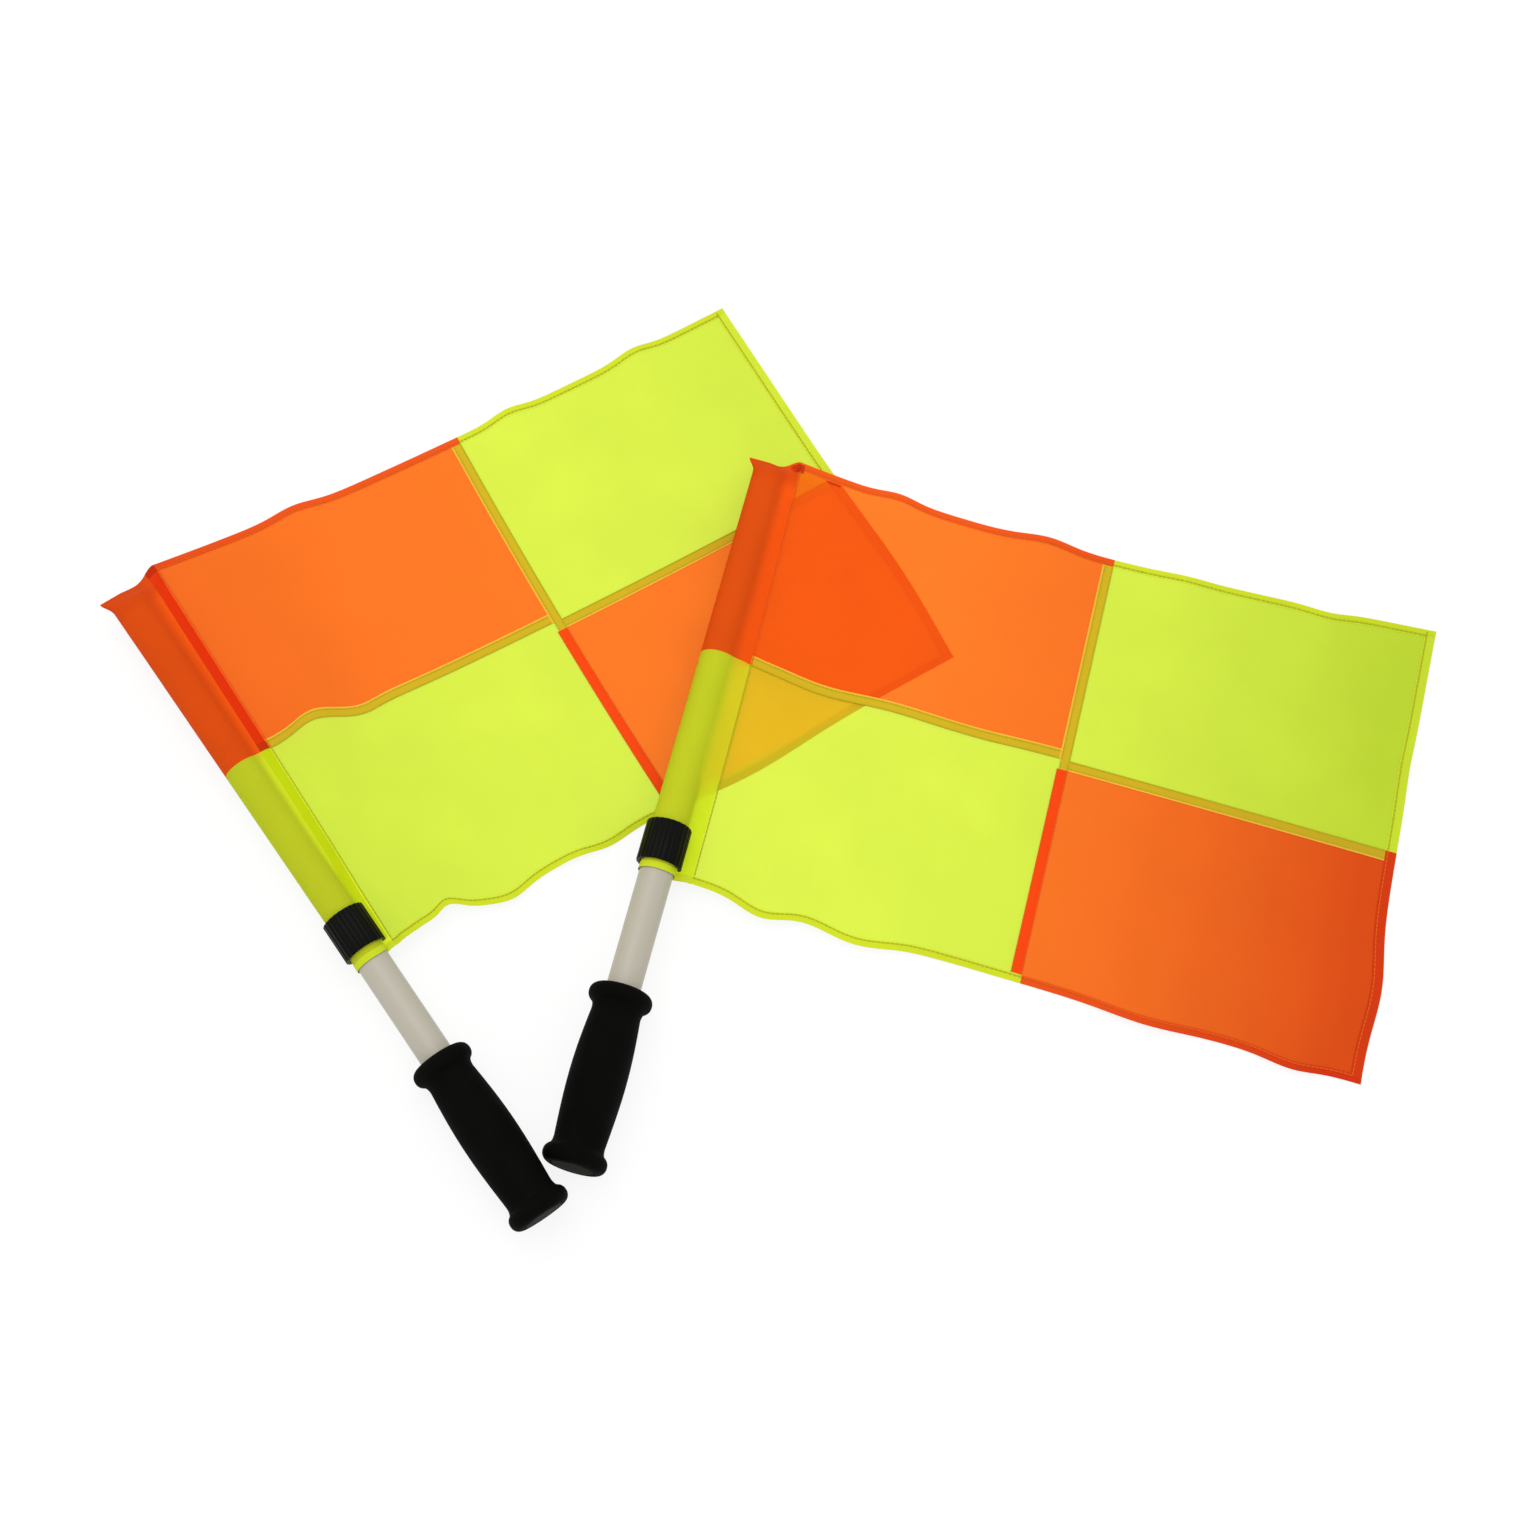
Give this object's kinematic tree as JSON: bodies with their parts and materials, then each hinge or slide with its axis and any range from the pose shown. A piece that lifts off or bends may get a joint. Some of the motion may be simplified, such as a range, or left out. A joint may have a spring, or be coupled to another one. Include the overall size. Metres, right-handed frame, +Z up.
{
  "type": "linesman flag",
  "caption": "Crossed linesman flags: chequered orange and yellow cloth sleeved on plastic tube shafts, held by fluted snap clips above moulded grips.",
  "frame": {"origin": "on the floor under the middle of the pair's outline", "axes": "+Z up from the floor the flags lie on, +X to the right along the longest extent, +Y away from the grips"},
  "size_m": [0.8604, 0.6248, 0.039],
  "materials": {
    "orange_nylon": "thin plain-weave nylon, fluorescent orange",
    "yellow_nylon": "thin plain-weave nylon, fluorescent yellow",
    "shaft_plastic": "extruded white plastic tube, satin",
    "grip_rubber": "moulded black rubber, matte",
    "plug_plastic": "moulded dark plastic, matte",
    "clip_plastic": "fluted black plastic, semi-gloss"
  },
  "bodies": {
    "rear_pole": {"rear_shaft": "shaft_plastic", "rear_grip": "grip_rubber", "rear_end_plug": "plug_plastic", "rear_top_plug": "plug_plastic"},
    "rear_clip_body": {"rear_clip": "clip_plastic"},
    "rear_cloth": {"rear_sleeve_upper": "orange_nylon", "rear_sleeve_lower": "yellow_nylon", "rear_panel_upper_hoist": "orange_nylon", "rear_panel_upper_fly": "yellow_nylon", "rear_panel_lower_hoist": "yellow_nylon", "rear_panel_lower_fly": "orange_nylon"},
    "front_pole": {"front_shaft": "shaft_plastic", "front_grip": "grip_rubber", "front_end_plug": "plug_plastic", "front_top_plug": "plug_plastic"},
    "front_clip_body": {"front_clip": "clip_plastic"},
    "front_cloth": {"front_sleeve_upper": "orange_nylon", "front_sleeve_lower": "yellow_nylon", "front_panel_upper_hoist": "orange_nylon", "front_panel_upper_fly": "yellow_nylon", "front_panel_lower_hoist": "yellow_nylon", "front_panel_lower_fly": "orange_nylon"}
  },
  "joints": [
    {"name": "rear_clip_slide", "type": "slide", "parent": "rear_pole", "child": "rear_clip_body", "axis": [0.5373, -0.8434, 0], "range_m": [0, 0.077]},
    {"name": "rear_cloth_slide", "type": "slide", "parent": "rear_pole", "child": "rear_cloth", "axis": [-0.5373, 0.8434, 0], "range_m": [0, 0.3]},
    {"name": "front_lift", "type": "slide", "parent": "rear_pole", "child": "front_pole", "axis": [0, 0, 1], "range_m": [0, 0.15]},
    {"name": "front_clip_slide", "type": "slide", "parent": "front_pole", "child": "front_clip_body", "axis": [-0.309, -0.9511, 0], "range_m": [0, 0.081]},
    {"name": "front_cloth_slide", "type": "slide", "parent": "front_pole", "child": "front_cloth", "axis": [0.309, 0.9511, 0], "range_m": [0, 0.3]}
  ]
}
